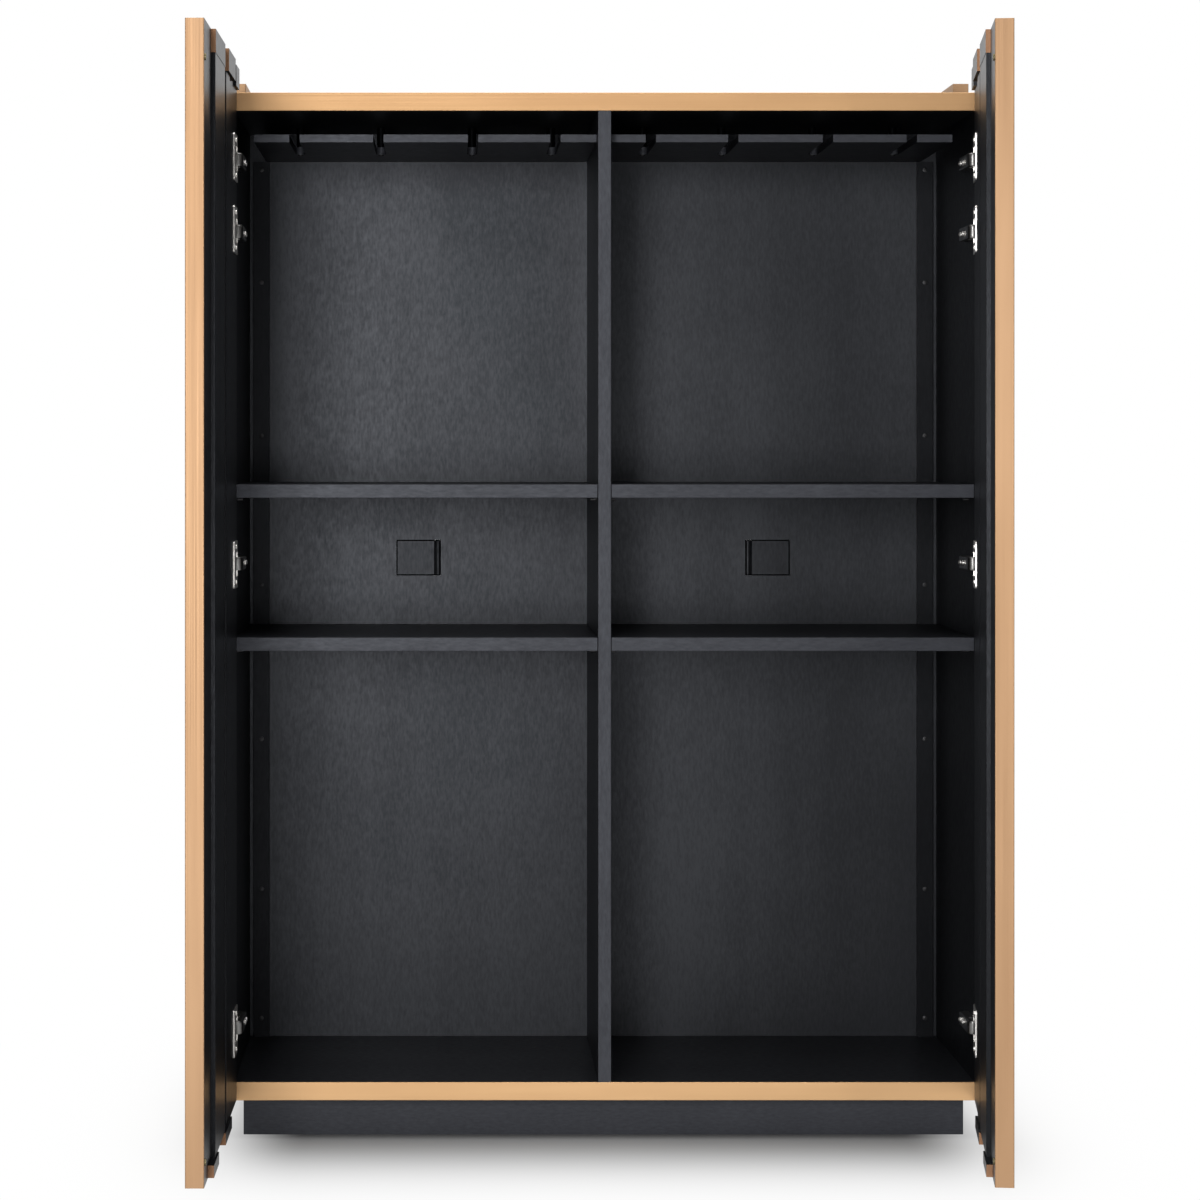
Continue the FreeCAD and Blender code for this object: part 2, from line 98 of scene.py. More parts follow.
def finish_named(name):
    """A new material, its node tree and its Principled shader."""
    material = bpy.data.materials.new(name)
    material.use_nodes = True
    tree = material.node_tree
    return material, tree, tree.nodes["Principled BSDF"]


def noise(tree, scale, detail, roughness=0.55):
    """Fractal noise between 0 and 1, on Object coordinates multiplied by scale. A small number along
    one axis draws the pattern out along it."""
    place = tree.nodes.new("ShaderNodeTexCoord").outputs["Object"]
    place = add(tree, "ShaderNodeMapping", Vector=place, Scale=scale).outputs["Vector"]
    return add(tree, "ShaderNodeTexNoise", Vector=place, Scale=1.0, Detail=detail,
               Roughness=roughness).outputs[0]


def drawn_out(axis, along, across):
    """A scale that is small along one axis and large across it."""
    return tuple(along if i == axis else across for i in range(3))


def remap(tree, value, low, high, to_low, to_high):
    """Stretch low..high of a value to to_low..to_high, clamped; the two ends may be links."""
    return add(tree, "ShaderNodeMapRange", Value=value, From_Min=low, From_Max=high,
               To_Min=to_low, To_Max=to_high).outputs[0]


def two_tone(tree, factor, dark, light):
    """A colour ramp from dark to light."""
    ramp = add(tree, "ShaderNodeValToRGB", Fac=factor)
    ramp.color_ramp.elements[0].color = (*dark, 1)
    ramp.color_ramp.elements[1].color = (*light, 1)
    return ramp.outputs["Color"]


def relief(tree, shader, height, strength, distance):
    """Feed a height into the shader's normal through a bump node."""
    bump = add(tree, "ShaderNodeBump", Strength=strength, Distance=distance, Height=height)
    tree.links.new(bump.outputs["Normal"], shader.inputs["Normal"])


ACROSS, DEEP, UPRIGHT = 0, 1, 2    # the axis that grain or brushing runs along

# %% [markdown]
# The brass is rolled strip, brushed along its length and lacquered. The brushing is very long thin
# noise, so a highlight breaks into fine lines. A slow cloudy noise gives the faint browning that
# lacquered brass takes on. A separate material per direction keeps the brushing along each strip. The
# rails of the carcass are a little paler than the doors' strips. The lower rail is paler still, which is
# painted light. The sheet on the outside of doors and sides is smoother, and the small caps on the doors
# are a dark brown copy of the brass, which is painted shade.

# %% Brushed brass
STRIP = ((0.30, 0.174, 0.092), (0.48, 0.309, 0.182))


def brushed_brass(name, axis, dark, light, smooth=0.50):
    """Tone is the cloud plus a share of the brushing; the brushing also drives gloss and relief."""
    material, tree, shader = finish_named(name)
    lines = noise(tree, drawn_out(axis, 3.0, 900.0), 3.0)
    cloud = noise(tree, drawn_out(axis, 2.0, 14.0), 3.0)
    share = combine(tree, "MULTIPLY", lines, 0.3)
    tone = combine(tree, "ADD", remap(tree, cloud, 0.25, 0.75, 0.16, 0.60), share)
    tree.links.new(two_tone(tree, tone, dark, light), shader.inputs["Base Color"])
    tree.links.new(remap(tree, lines, 0.3, 0.7, smooth, smooth + 0.12), shader.inputs["Roughness"])
    shader.inputs["Metallic"].default_value = 1.0
    relief(tree, shader, lines, 0.12, 0.0004)
    return material


CROWN_BRASS = brushed_brass("brushed_brass_deep", DEEP, *STRIP)
EDGE_BRASS = brushed_brass("brushed_brass_upright", UPRIGHT, *STRIP)
RAIL_BRASS = brushed_brass("rail_brass", ACROSS, (0.36, 0.204, 0.097), (0.58, 0.366, 0.190))
# painted light: a paler copy of the brass for the lower rail
PAINTED_LIGHT_BRASS = brushed_brass("painted_light_brass", ACROSS, (0.52, 0.310, 0.152), (0.80, 0.530, 0.290))
SHEET_BRASS = brushed_brass("sheet_brass", UPRIGHT, (0.40, 0.232, 0.118), (0.56, 0.355, 0.196), 0.30)
# painted shade: a dark brown copy of the brass for the caps on the doors
PAINTED_SHADE_BRASS = brushed_brass("painted_shade_brass", UPRIGHT, (0.17, 0.086, 0.048), (0.36, 0.205, 0.120))
BRASSES = (CROWN_BRASS, EDGE_BRASS, RAIL_BRASS, PAINTED_LIGHT_BRASS, SHEET_BRASS, PAINTED_SHADE_BRASS)
print("brass finishes:", [m.name for m in BRASSES])

# %% [markdown]
# The inside is ebonised veneer under a thin satin lacquer. Close up it is finely mottled: short pores a
# few millimetres long, drawn out a little along the grain, over slow bands where the stain took more or
# less. Faces whose normal points along -Y, towards the lamps, are painted lighter: painted light on the
# side that faces the lamps, so one graph serves the whole board. The cord flaps have a painted shade, a
# dark line without shine round their edges and beside their barrels, for the shadow of the gap round them.

# %% Ebonised veneer
STAIN = np.array((0.0076, 0.0079, 0.0093))
FRONT_LIGHT_GAIN = 4.3            # how many times lighter the faces pointing along -Y are painted: painted light
FLAP_LIP = 0.0035        # the lip behind a flap shows this far beyond its front face
GAP_SHADE_W = 0.0014           # width of the painted shade line round a flap
GAP_SHADE_SOFT = 0.0003        # half the width over which that painted shade fades out


def flap_gap_shade(tree):
    """0 on a painted shade line round the edge of a cord flap and beside its barrel, 1 elsewhere: a dark
    line that stands in for the shadow of the gap round the flap. The line is where the nearest side of the
    front face is closer than its width; left and right share one outline in |x|."""
    low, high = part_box("cord_flap_right")
    hinge_x = joints["right_cord_flap_hinge"]["pos_m"][0]
    place = axes_of(tree, "Object")
    x, z = combine(tree, "ABSOLUTE", place["X"]), place["Z"]
    beside = combine(tree, "SUBTRACT", x, 2 * hinge_x - low[0] + GAP_SHADE_W / 2)
    nearest = combine(tree, "ABSOLUTE", beside)
    for upper, lower in ((x, low[0]), (high[0] - FLAP_LIP, x),
                         (z, low[2] + FLAP_LIP), (high[2] - FLAP_LIP, z)):
        nearest = combine(tree, "MINIMUM", nearest, combine(tree, "SUBTRACT", upper, lower))
    return remap(tree, nearest, GAP_SHADE_W - GAP_SHADE_SOFT, GAP_SHADE_W + GAP_SHADE_SOFT, 0.0, 1.0)


def ebonised_veneer(name, axis, front_gain=1.0, depth=1.0, gloss=0.24, smooth=0.38, shade_mask=None):
    """Tone mixes pores, bands and a slow cloud; on faces that point along -Y, towards the lamps, the stain
    is painted lighter by the given factor: painted light.
    A small depth is a darker stain, which the darkest copies below use as painted shade; gloss and smooth
    set how much and how sharply it shines, and a mask given last is 0 where a painted shade takes the
    shine away."""
    material, tree, shader = finish_named(name)
    pores = noise(tree, drawn_out(axis, 95.0, 330.0), 5.0, 0.62)
    bands = noise(tree, drawn_out(axis, 1.1, 11.0), 4.0)
    cloud = noise(tree, (4.5, 4.5, 4.5), 3.0)
    mixed = remap(tree, pores, 0.25, 0.75, 0.0, 0.50)
    mixed = combine(tree, "ADD", mixed, remap(tree, bands, 0.25, 0.75, 0.0, 0.28))
    mixed = combine(tree, "ADD", mixed, remap(tree, cloud, 0.3, 0.7, 0.0, 0.22))
    stain = depth * STAIN
    face = two_tone(tree, mixed, 0.45 * stain, 1.55 * stain)
    # painted light: faces pointing along -Y, towards the lamps, take this lighter colour
    edge = two_tone(tree, mixed, 0.60 * front_gain * stain, 1.40 * front_gain * stain)
    front = remap(tree, axes_of(tree, "Normal")["Y"], -0.9, -0.4, 1.0, 0.0)
    # sockets 6 and 7 of a mix node are its two colours, and output 2 is the mixed one
    blend = tree.nodes.new("ShaderNodeMix")
    blend.data_type = "RGBA"
    for socket, value in ((0, front), (6, face), (7, edge)):
        tree.links.new(value, blend.inputs[socket])
    tree.links.new(blend.outputs[2], shader.inputs["Base Color"])
    tree.links.new(remap(tree, pores, 0.3, 0.7, smooth + 0.08, smooth), shader.inputs["Roughness"])
    shine = remap(tree, mixed, 0.3, 0.7, 0.84 * gloss, 1.16 * gloss)
    # painted shade: the mask takes the shine off a thin dark line round each cord flap
    if shade_mask:
        shine = combine(tree, "MULTIPLY", shine, shade_mask(tree))
    tree.links.new(shine, shader.inputs["Specular IOR Level"])
    shader.inputs["Specular Tint"].default_value = (0.87, 0.91, 1.0, 1)
    relief(tree, shader, pores, 0.12, 0.0003)
    return material


VENEER_ACROSS = ebonised_veneer("ebonised_veneer_across", ACROSS)
VENEER_DEEP = ebonised_veneer("ebonised_veneer_deep", DEEP)
# copies with painted light on the faces that point along -Y, towards the lamps
FRONT_LIT_ACROSS = ebonised_veneer("front_lit_veneer_across", ACROSS, FRONT_LIGHT_GAIN)
FRONT_LIT_UPRIGHT = ebonised_veneer("front_lit_veneer_upright", UPRIGHT, FRONT_LIGHT_GAIN)
SATIN = ebonised_veneer("satin_back", UPRIGHT, depth=0.72, gloss=0.34, smooth=0.36)
# painted shade: a darker, duller copy of the veneer for side panels, back battens and door slabs
SHADED_VENEER = ebonised_veneer("painted_shade_veneer", UPRIGHT, depth=0.5, gloss=0.13)
DOOR = ebonised_veneer("door_veneer", UPRIGHT, depth=0.55, gloss=0.21, smooth=0.30)
# the cord flaps carry a painted shade line round their edges and beside their barrels
FLAP = ebonised_veneer("flap_veneer", UPRIGHT, depth=0.5, gloss=0.26, smooth=0.36, shade_mask=flap_gap_shade)
# painted shade: a near-black copy without shine, as dark as the shade it sits in
SHADE_BLACK = ebonised_veneer("painted_shade_black", UPRIGHT, depth=0.15, gloss=0.03)
BLACKS = (VENEER_ACROSS, VENEER_DEEP, FRONT_LIT_ACROSS, FRONT_LIT_UPRIGHT, SATIN, SHADED_VENEER, DOOR, FLAP, SHADE_BLACK)
print("black finishes:", [m.name for m in BLACKS])

# %% [markdown]
# Hinge flanges and their screws are nickel-plated steel, bright and with faint tumbling marks from the
# plating drum. The arms and plates behind them are greyer steel. The pins and screws of the carcass are
# blackened so that they vanish in the dark inside, and the strike discs are dull yellow zinc.

# %% Hardware metals
def plated(name, low, high, smooth, rough):
    """A metal whose colour wanders from low to high, and whose gloss follows fine marks."""
    material, tree, shader = finish_named(name)
    marks = noise(tree, (700.0, 700.0, 700.0), 4.0)
    cloud = noise(tree, (60.0, 60.0, 60.0), 3.0)
    tree.links.new(two_tone(tree, cloud, low, high), shader.inputs["Base Color"])
    tree.links.new(remap(tree, marks, 0.3, 0.7, smooth, rough), shader.inputs["Roughness"])
    shader.inputs["Metallic"].default_value = 1.0
    relief(tree, shader, marks, 0.03, 0.0003)
    return material


NICKEL = plated("nickel_plate", (0.82, 0.79, 0.75), (0.94, 0.92, 0.89), 0.30, 0.38)
GREY_STEEL = plated("grey_steel", (0.13, 0.128, 0.125), (0.24, 0.236, 0.23), 0.28, 0.40)
BLACK_STEEL = plated("blackened_steel", (0.030, 0.030, 0.031), (0.075, 0.075, 0.078), 0.38, 0.55)
YELLOW_ZINC = plated("yellow_zinc", (0.10, 0.088, 0.050), (0.17, 0.150, 0.085), 0.40, 0.55)
print("metals:", [m.name for m in (NICKEL, GREY_STEEL, BLACK_STEEL, YELLOW_ZINC)])

# %% [markdown]
# Each piece now takes its finish. Grain and brushing follow the way the piece would be cut: upright
# on doors, sides, divider and back, across on shelves and rails, front to back on the plinth ends. The
# rack's spacers take a near-black copy without shine, as dark as the gap they stand in: painted shade.

# %% Give every piece its finish
FINISH = {
    "top_edge": RAIL_BRASS, "bottom_edge": PAINTED_LIGHT_BRASS,
    "plinth_front": FRONT_LIT_ACROSS, "plinth_rear": VENEER_ACROSS,
    "bottom_board": VENEER_ACROSS, "top_board": VENEER_ACROSS,
    "back_panel": SATIN, "divider": FRONT_LIT_UPRIGHT,
    "shelf_pins": BLACK_STEEL, "cord_pins": BLACK_STEEL, "rack_screws": BLACK_STEEL,
    "back_screws": BLACK_STEEL, "rack_spacers": SHADE_BLACK,
}
for side in ("left", "right"):
    FINISH.update({
        "side_crown_" + side: CROWN_BRASS, "side_sheet_" + side: SHEET_BRASS,
        "side_panel_" + side: SHADED_VENEER, "back_batten_" + side: SHADED_VENEER,
        "plinth_end_" + side: VENEER_DEEP,
        "shelf_lower_" + side: FRONT_LIT_ACROSS, "shelf_upper_" + side: FRONT_LIT_ACROSS,
        "rack_" + side: FRONT_LIT_ACROSS, "rack_cleat_" + side: VENEER_ACROSS,
        "cord_flap_" + side: FLAP, "hinge_cams_" + side: NICKEL,
        "hinge_plates_" + side: GREY_STEEL, "hinge_arms_" + side: GREY_STEEL,
    })
    door = "door_" + side + "_"
    FINISH.update({
        door + "slab": SHADED_VENEER, door + "inner_panel": DOOR,
        door + "crown_plates": DOOR, door + "foot_plates": DOOR,
        door + "staves": SHEET_BRASS, door + "edge": EDGE_BRASS, door + "end_caps": PAINTED_SHADE_BRASS,
        door + "hinge_cups": NICKEL, door + "hinge_pins": NICKEL, door + "strikes": YELLOW_ZINC,
    })
for name, piece in nodes.items():
    piece.data.materials.clear()
    piece.data.materials.append(FINISH[name])
print("finished pieces:", len(FINISH), "of", len(nodes))

# %% [markdown]
# The hardware is what catches the light in the dark inside. A screw head is a lathe shape: a profile
# turned round an axis, with a cross pressed into the dome. The whole head, rim and shank come from one
# grid of profile steps by turning angles, so a row of screws is one array computation.

# %% Grids into meshes
def as_piece(name, grids, body, material, replaces=()):
    """Join grids of points (rows by columns by 3) into one mesh object.
    Every grid closes on itself along its columns; a grid given with True also closes along its rows."""
    points, faces, start = [], [], 0
    for grid, loop in grids:
        rows, cols = grid.shape[:2]
        index = start + np.arange(rows * cols).reshape(rows, cols)
        low = index if loop else index[:-1]
        high = np.roll(index, -1, 0) if loop else index[1:]
        quads = np.stack([low, np.roll(low, -1, 1), np.roll(high, -1, 1), high], -1)
        points.append(grid.reshape(-1, 3))
        faces.append(quads.reshape(-1, 4))
        start += rows * cols
    mesh = bpy.data.meshes.new(name)
    mesh.from_pydata(np.concatenate(points).tolist(), [], np.concatenate(faces).tolist())
    work = bmesh.new()
    work.from_mesh(mesh)
    bmesh.ops.remove_doubles(work, verts=work.verts, dist=1e-6)
    bmesh.ops.recalc_face_normals(work, faces=work.faces)
    work.to_mesh(mesh)
    work.free()
    mesh.polygons.foreach_set("use_smooth", np.ones(len(mesh.polygons), bool))
    mesh.set_sharp_from_angle(angle=math.radians(40))
    mesh.materials.append(material)
    piece = bpy.data.objects.new(name, mesh)
    bpy.context.collection.objects.link(piece)
    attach(piece, body)
    if replaces:
        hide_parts(*replaces)
    print(name, "faces:", len(mesh.polygons))


def facing(points, centre, out):
    """Turn points made along +Z so that +Z becomes out, and move them to centre."""
    out = np.asarray(out, float)
    side = np.cross((0, 0, 1), out) if abs(out[2]) < 0.9 else np.array((1.0, 0, 0))
    side = side / np.linalg.norm(side)
    up = np.cross(out, side)
    return np.asarray(centre) + points[..., :1] * side + points[..., 1:2] * up + points[..., 2:] * out


DOME_STEPS, TURN_STEPS = 15, 40
CROSS_ARM, CROSS_REACH = 0.17, 0.58    # half-width and length of an arm, against the head's radius
CROSS_DEPTH = 0.6                      # against the head's height


def cross_head(radius, height, shank_r, shank_l):
    """A domed screw along +Z, seated at zero. The profile runs from the crown over the dome, down the
    rim, under the head and along the shank. The cross sinks by a smooth step of the distance from its
    arms: depth times (1 - nearer arm / arm width), inside the arms' reach."""
    t = np.linspace(0, 1, DOME_STEPS)
    r = np.concatenate([radius * t, [radius, shank_r, shank_r, 0.0]])
    z = np.concatenate([height * (1 - 0.55 * t**2), [0.0, 0.0, -shank_l, -shank_l]])
    angle = np.linspace(0, 2 * np.pi, TURN_STEPS, endpoint=False)
    x, y = r[:, None] * np.cos(angle), r[:, None] * np.sin(angle)
    near, far = np.minimum(abs(x), abs(y)), np.maximum(abs(x), abs(y))
    arm = np.clip(2.2 * (1 - near / (CROSS_ARM * radius)), 0, 1)
    arm = arm * np.clip(6 * (CROSS_REACH - far / radius), 0, 1)
    on_dome = np.arange(len(r)) < DOME_STEPS
    sunk = CROSS_DEPTH * height * arm * on_dome[:, None]
    return np.stack([x, y, z[:, None] - sunk], -1)


MM = 0.001
FRONT = 54.0             # the side panels' front edges lie this far ahead of the origin, mm
HINGE_Z = (158.0, 790.0, 1243.0, 1341.0)
SIDES = (("left", -1), ("right", 1))
print("hinges per door:", len(HINGE_Z))

# %% [markdown]
# Three kinds of screw: black ones under the stemware rack and down the back battens, and the two bright
# adjusting screws on each hinge arm. They take the places of the plain solids of the same names. Depths
# are counted from the side panels' front edges.

# %% Screws of the carcass
RACK_SCREW_X, RACK_SCREW_Y = (66.0, 180.0, 311.0, 427.0), 242.0
BATTEN_SCREW_X = 490.0
# heights of the batten's screws, as shares of the way from its foot to the rack
BATTEN_SHARES = np.array((0.0209, 0.1685, 0.3402, 0.5164, 0.6869, 0.8620, 0.9907))
CAM_X, CAM_Y = 494.0, (30.0, 50.0)

rack_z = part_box("rack_left")[0][2]
rack_head = cross_head(4.0 * MM, 1.8 * MM, 2.0 * MM, 33.5 * MM)
as_piece("rack_screw_heads",
         [(facing(rack_head, (s * x * MM, (RACK_SCREW_Y - FRONT) * MM, rack_z), (0, 0, -1)), False)
          for s in (-1, 1) for x in RACK_SCREW_X],
         "carcass", BLACK_STEEL, ["rack_screws"])

batten_head = cross_head(3.4 * MM, 1.2 * MM, 1.75 * MM, 5.5 * MM)
batten_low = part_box("back_batten_left")[0]
batten_z = batten_low[2] + (rack_z - batten_low[2]) * BATTEN_SHARES
as_piece("batten_screw_heads",
         [(facing(batten_head, (s * BATTEN_SCREW_X * MM, batten_low[1], z), (0, -1, 0)), False)
          for s in (-1, 1) for z in batten_z],
         "carcass", BLACK_STEEL, ["back_screws"])

cam_head = cross_head(3.6 * MM, 2.4 * MM, 1.8 * MM, 4.0 * MM)
for side, s in SIDES:
    as_piece("adjusting_screws_" + side,
             [(facing(cam_head, (s * CAM_X * MM, (y - FRONT) * MM, z * MM), (-s, 0, 0)), False)
              for y in CAM_Y for z in HINGE_Z],
             "carcass", NICKEL, ["hinge_cams_" + side])

# %% [markdown]
# A hinge arm is a pressed channel: it lies along the side panel, turns the corner on a small radius and
# reaches into the door's cup. It is made as a rounded section carried along that path, hollowed by a
# shallow groove on the side that faces the room, and ends in the knuckle that the door's pin goes through.

# %% Hinge arms
hinge_x, hinge_y = joints["right_door_hinge"]["pos_m"][:2]
AXIS_X, AXIS_Y = hinge_x / MM, hinge_y / MM + FRONT
LEG_X, LEG_BACK_Y, BEND_R = 497.0, 61.5, 5.0
REACH_SHORT = 2.5        # the reach stops this far before the axis, inside the knuckle
LEG_HALF, REACH_HALF = 3.0, 2.0
ARM_TALL = 9.0           # half the height of the section
CORNER = 0.35            # power of the superellipse; a smaller one is squarer
GROOVE_DEEP, GROOVE_TALL = 1.2, 5.5
GROOVE_Y, GROOVE_FADE = (4.0, 60.0), 4.0
SECTION_STEPS = 36


def hinge_arm(s, z0):
    """The section is a rounded box (a superellipse), thicker on the leg than on the reach. The path is
    a straight leg, a quarter turn, and a straight reach."""
    leg = np.stack([np.full(16, LEG_X), np.linspace(LEG_BACK_Y, AXIS_Y + BEND_R, 16)], -1)
    turn = np.linspace(np.pi, 1.5 * np.pi, 11)[1:]
    centre = np.array((LEG_X + BEND_R, AXIS_Y + BEND_R))
    bend = centre + BEND_R * np.stack([np.cos(turn), np.sin(turn)], -1)
    reach = np.stack([np.linspace(centre[0], AXIS_X - REACH_SHORT, 6)[1:], np.full(5, AXIS_Y)], -1)
    path = np.concatenate([leg, bend, reach])
    run = np.gradient(path, axis=0)
    run = run / np.linalg.norm(run, axis=1, keepdims=True)
    outward = np.stack([run[:, 1], -run[:, 0]], -1)
    leg_end, bend_end = len(leg) - 1, len(leg) + len(bend) - 1
    half = np.interp(np.arange(len(path)), (leg_end, bend_end), (LEG_HALF, REACH_HALF))
    angle = np.linspace(0, 2 * np.pi, SECTION_STEPS, endpoint=False)
    c, n = np.cos(angle), np.sin(angle)
    thick = np.sign(c) * abs(c)**CORNER
    tall = ARM_TALL * np.sign(n) * abs(n)**CORNER
    groove = np.exp(-(tall / GROOVE_TALL)**6) * (thick > 0.5)
    y0, y1 = GROOVE_Y
    along = np.clip((path[:, 1] - y0) / GROOVE_FADE, 0, 1) * np.clip((y1 - path[:, 1]) / GROOVE_FADE, 0, 1)
    across = half[:, None] * thick - GROOVE_DEEP * along[:, None] * groove
    x = path[:, :1] + outward[:, :1] * across
    y = path[:, 1:] + outward[:, 1:] * across
    grid = np.stack([x, y, z0 + np.broadcast_to(tall, x.shape)], -1)
    first, last = (np.broadcast_to((*p, z0), (1, SECTION_STEPS, 3)) for p in (path[0], path[-1]))
    grid = np.concatenate([first, grid, last])
    return (grid - (0, FRONT, 0)) * (s * MM, MM, MM)


def knuckle(s, z0):
    """A short tube round the pin: a closed ring profile, 1.55 to 3.2 mm, turned about the hinge axis."""
    r = np.array((1.55, 1.55, 1.9, 2.9, 3.2, 3.2, 2.9, 1.9))
    z = np.array((8.7, -8.7, -9.0, -9.0, -8.7, 8.7, 9.0, 9.0))
    angle = np.linspace(0, 2 * np.pi, 32, endpoint=False)
    x, y = AXIS_X + r[:, None] * np.cos(angle), AXIS_Y + r[:, None] * np.sin(angle)
    grid = np.stack([x, y, np.broadcast_to(z0 + z[:, None], x.shape)], -1)
    return (grid - (0, FRONT, 0)) * (s * MM, MM, MM)


for side, s in SIDES:
    shapes = [(hinge_arm(s, z), False) for z in HINGE_Z] + [(knuckle(s, z), True) for z in HINGE_Z]
    as_piece("pressed_arms_" + side, shapes, "carcass", GREY_STEEL, ["hinge_arms_" + side])

# %% [markdown]
# Each door flange is held by two screws, above and below the cup. They are laid out on the closed door
# and turned with it about the hinge axis to the angle at which the door stands open. A joint's range
# says how far the door is from closed: the end of the range that is farther from zero.

# %% Screws of the door flanges
FLANGE_FACE = -1.5       # outer face of the flanges on a closed door
FLANGE_SCREW_X = 490.0
FLANGE_SCREW_LIFT = 24.0

flange_head = cross_head(3.3 * MM, 1.8 * MM, 1.6 * MM, 8.0 * MM)
for side, s in SIDES:
    turn = -math.radians(max(joints[side + "_door_hinge"]["range_deg"], key=abs))
    c, n = math.cos(turn), math.sin(turn)
    spin = np.array(((c, -n, 0), (n, c, 0), (0, 0, 1)))
    pivot = np.array((s * AXIS_X, AXIS_Y - FRONT, 0)) * MM
    heads = []
    for z in HINGE_Z:
        for lift in (-FLANGE_SCREW_LIFT, FLANGE_SCREW_LIFT):
            seat = np.array((s * FLANGE_SCREW_X, FLANGE_FACE - FRONT, z + lift)) * MM
            heads.append(((facing(flange_head, seat, (0, 1, 0)) - pivot) @ spin.T + pivot, False))
    as_piece("flange_screws_" + side, heads, "door_" + side, NICKEL)

# %% [markdown]
# A thin near-black sheet sits behind the back panel round the barrel of each cord flap, where the flap's
# own lip leaves off: a dark sheet put there as painted shade, so that no daylight shows beside the barrel
# and the gap reads as shadow. It is a strip along the barrel and a short one past each of its ends, clear
# of the flap as it swings out to the rear.

# %% Painted shade sheets at the cord flaps
SHADE_SHEET_T, SHADE_SHEET_W = 0.3 * MM, 4.5 * MM
SHADE_SHEET_LAP = 1.2 * MM      # the strip along the barrel covers this much of it
SHADE_SHEET_CLEAR = 0.05 * MM   # room between the end strips and the barrel
SHADE_SHEET_PAST = 2.0 * MM     # an end strip runs this far past the barrel


def bar(s, low, high):
    """A box from corner low to corner high, mirrored by s, as rings of four corners between two ends."""
    ring = np.array(((low[1], low[2]), (high[1], low[2]), (high[1], high[2]), (low[1], high[2])))
    middle = np.broadcast_to(ring.mean(0), ring.shape)
    rows = [(low[0], middle), (low[0], ring), (high[0], ring), (high[0], middle)]
    return np.stack([np.column_stack([np.full(4, s * x), yz]) for x, yz in rows])


flap_low, flap_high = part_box("cord_flap_right")
barrel_x = flap_low[0]
lip_x = 2 * joints["right_cord_flap_hinge"]["pos_m"][0] - barrel_x + SHADE_SHEET_PAST
rear_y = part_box("back_panel")[1][1]
bottom_z, top_z = flap_low[2] + FLAP_LIP, flap_high[2] - FLAP_LIP
shade_sheets = [((barrel_x - SHADE_SHEET_W, rear_y, bottom_z), (barrel_x + SHADE_SHEET_LAP, rear_y + SHADE_SHEET_T, top_z))]
shade_sheets += [((barrel_x - SHADE_SHEET_W, rear_y, z0), (lip_x, rear_y + SHADE_SHEET_T, z0 + SHADE_SHEET_W))
          for z0 in (bottom_z - SHADE_SHEET_W - SHADE_SHEET_CLEAR, top_z + SHADE_SHEET_CLEAR)]
# painted shade: near-black sheets that keep daylight out of the gap beside each barrel
as_piece("flap_shade_sheets", [(bar(s, *shade_sheet), False) for s in (-1, 1) for shade_sheet in shade_sheets],
         "carcass", SHADE_BLACK)

# %% [markdown]
# The stage is a pale floor that is pure white to the eye, apart from the cabinet's shadow. Near the plinth
# a share of what the eye sees is the floor's own light, with the real shadow in it. These soft lamps leave
# too little shadow under the plinth, so the white also fades there, as a bell curve of the distance from
# it: slowly towards front and back, and faster towards the ends, where light comes in from the sides. Only
# rays from the eye, and reflections, see that white: the light that falls on the cabinet comes from the
# lamps and a softer grey surround, so the colours stay as they are written.

# %% Floor
FLOOR_HALF = 9.0
SHADOW_KEPT = 0.27       # share of the floor's own light and shadow beside the plinth
SHADOW_FADE = 0.35       # how fast that share fades with distance, against the added shade
SHADE_REACH = {"X": 0.10, "Y": 0.196}
SHADE_INSET = {"X": 0.09, "Y": 0.0}    # the shade starts this far inside the plinth's outline

corners = [(x * FLOOR_HALF, y * FLOOR_HALF, 0) for x, y in ((-1, -1), (1, -1), (1, 1), (-1, 1))]
floor_mesh = bpy.data.meshes.new("floor")
floor_mesh.from_pydata(corners, [], [(0, 1, 2, 3)])
floor = bpy.data.objects.new("floor", floor_mesh)
bpy.context.collection.objects.link(floor)

floor_white, tree, shader = finish_named("pale_floor")
tree.nodes.remove(shader)
plinth_low, plinth_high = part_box("plinth_front")[0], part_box("plinth_rear")[1]
ground = axes_of(tree, "Object")
spread = 0.0
for i, axis in enumerate("XY"):
    middle = (plinth_low[i] + plinth_high[i]) / 2
    half = (plinth_high[i] - plinth_low[i]) / 2 - SHADE_INSET[axis]
    away = combine(tree, "ABSOLUTE", combine(tree, "SUBTRACT", ground[axis], middle))
    beyond = combine(tree, "MAXIMUM", combine(tree, "SUBTRACT", away, half), 0.0)
    steps = combine(tree, "DIVIDE", beyond, SHADE_REACH[axis])
    spread = combine(tree, "ADD", spread, combine(tree, "MULTIPLY", steps, steps))
shade = combine(tree, "SUBTRACT", 1.0, combine(tree, "POWER", math.exp(-1), spread))
fading = combine(tree, "POWER", math.exp(-SHADOW_FADE), spread)
kept = combine(tree, "MULTIPLY", SHADOW_KEPT, fading)
seen = tree.nodes.new("ShaderNodeLightPath").outputs
eye = combine(tree, "ADD", seen["Is Camera Ray"], seen["Is Glossy Ray"])
whitened = combine(tree, "MULTIPLY", eye, combine(tree, "SUBTRACT", 1.0, kept))
matt = add(tree, "ShaderNodeBsdfDiffuse", Color=(0.95, 0.95, 0.95, 1))
glow = add(tree, "ShaderNodeEmission", Color=(1, 1, 1, 1), Strength=shade)
blend = add(tree, "ShaderNodeMixShader", Fac=whitened)
tree.links.new(matt.outputs[0], blend.inputs[1])
tree.links.new(glow.outputs[0], blend.inputs[2])
tree.links.new(blend.outputs[0], tree.nodes["Material Output"].inputs["Surface"])
floor.data.materials.append(floor_white)
print("floor, metres across:", 2 * FLOOR_HALF)

# %% [markdown]
# The surround is white to the eye. Reflections see that white behind the cabinet, and a darker room in
# front of it, where the camera and the lamps stand. As a light it is a plain grey.

# %% Surround
ROOM_LEVEL, GREY_LEVEL = 0.18, 0.30

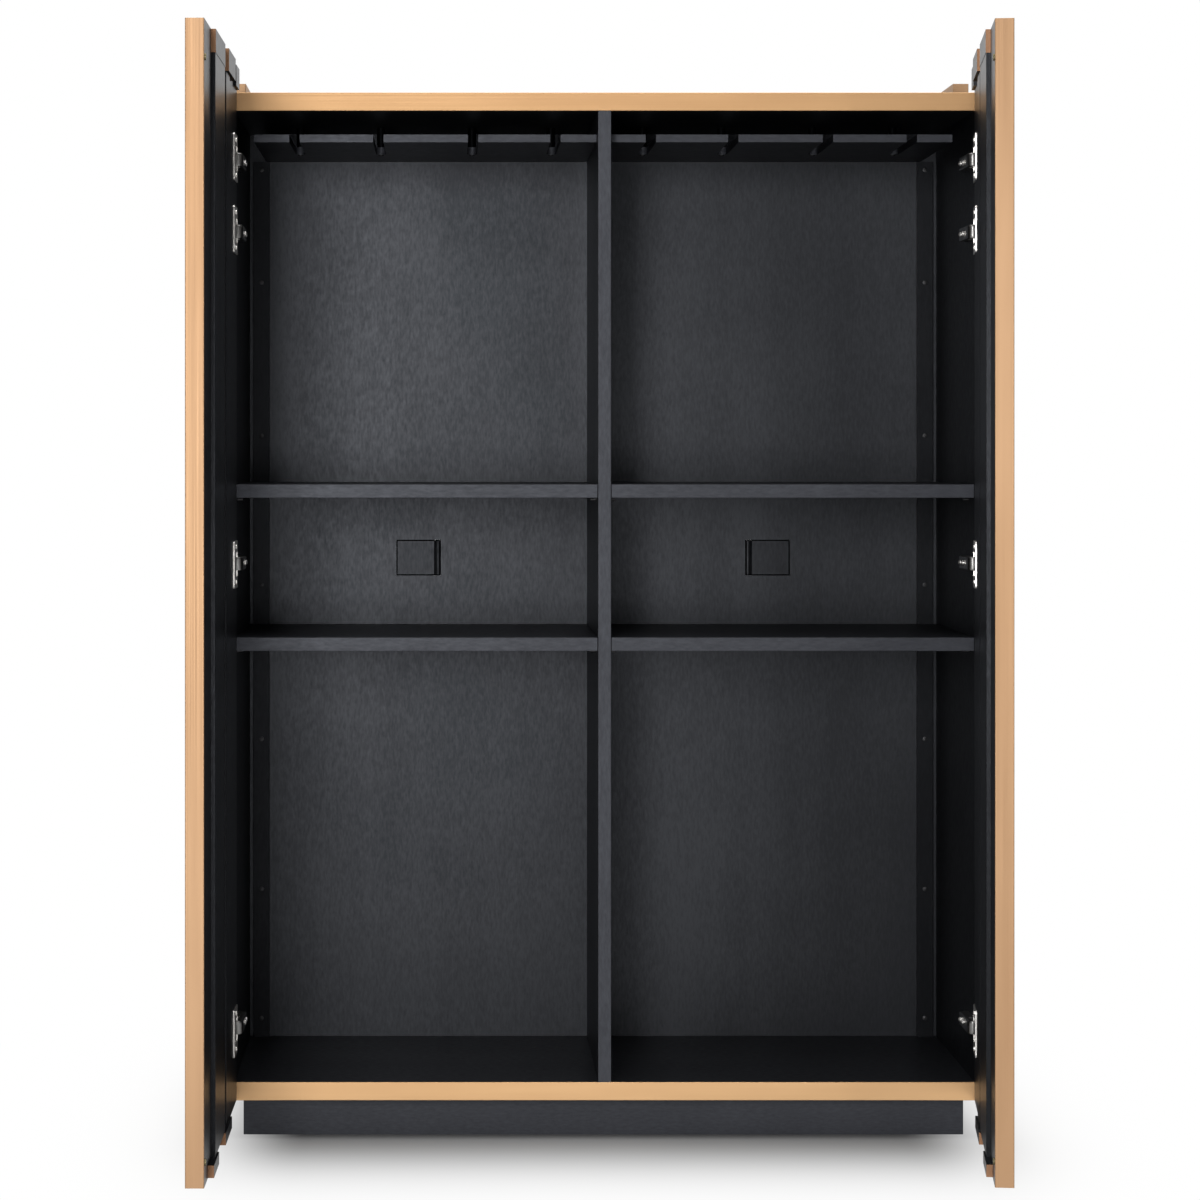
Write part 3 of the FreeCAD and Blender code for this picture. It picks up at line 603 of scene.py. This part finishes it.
world = bpy.data.worlds.new("surround")
bpy.context.scene.world = world
world.use_nodes = True
tree = world.node_tree
seen = tree.nodes.new("ShaderNodeLightPath").outputs
mirrored = combine(tree, "ADD", seen["Is Glossy Ray"], seen["Is Transmission Ray"])
backdrop = remap(tree, axes_of(tree, "Generated")["Y"], -0.1, 0.4, ROOM_LEVEL, 1.0)
level = remap(tree, mirrored, 0.0, 1.0, GREY_LEVEL, backdrop)
strength = remap(tree, seen["Is Camera Ray"], 0.0, 1.0, level, 1.0)
back = tree.nodes["Background"]
back.inputs["Color"].default_value = (1, 1, 1, 1)
tree.links.new(strength, back.inputs["Strength"])
print("surround as a light:", GREY_LEVEL)

# %% [markdown]
# The lamps: a key softbox left of the camera, whose sheen lies over the left bay's back panel, a low
# fill that lifts the bottom rail and the plinth, a tall narrow strip on the right that draws bright
# lines on the nickel, and a wide soft lamp overhead.

# %% Lamps
def softbox(name, width, height, power, place, target):
    """A rectangular lamp at place that faces target."""
    lamp = bpy.data.lights.new(name, "AREA")
    lamp.shape = "RECTANGLE"
    lamp.size, lamp.size_y = width, height
    lamp.energy = power
    made = bpy.data.objects.new(name, lamp)
    made.location = place
    aim = made.location.copy()
    aim.x, aim.y, aim.z = (t - p for t, p in zip(target, place))
    made.rotation_euler = aim.to_track_quat("-Z", "Y").to_euler()
    bpy.context.collection.objects.link(made)


softbox("key_softbox", 0.8, 1.3, 88.0, (-1.05, -4.7, 1.56), (-0.2, 0.0, 1.0))
softbox("low_fill", 1.2, 0.9, 34.0, (-0.60, -4.7, 0.50), (-0.1, 0.0, 0.4))
softbox("right_strip", 0.16, 2.0, 7.0, (1.30, -4.7, 1.05), (0.3, 0.0, 0.8))
softbox("overhead_softbox", 2.4, 2.4, 90.0, (0.0, -0.5, 3.4), (0.0, -0.2, 0.0))
print("lamps:", [lamp.name for lamp in bpy.data.lights])

# %% [markdown]
# The camera stands left of the middle and looks straight at the back wall, so uprights stay upright
# and the frame is shifted rather than turned.

# %% Camera
camera = bpy.data.cameras.new("camera")
camera.lens = 94.6
camera.sensor_width = 36.0
camera.shift_x = 0.1275
camera.shift_y = -0.125
eye_point = bpy.data.objects.new("camera", camera)
eye_point.location = (-0.216, -4.364, 0.9452)
eye_point.rotation_euler = (math.radians(90), 0, 0)
bpy.context.collection.objects.link(eye_point)
bpy.context.scene.camera = eye_point
bpy.context.scene.view_settings.view_transform = "Standard"
print("camera at", tuple(eye_point.location))
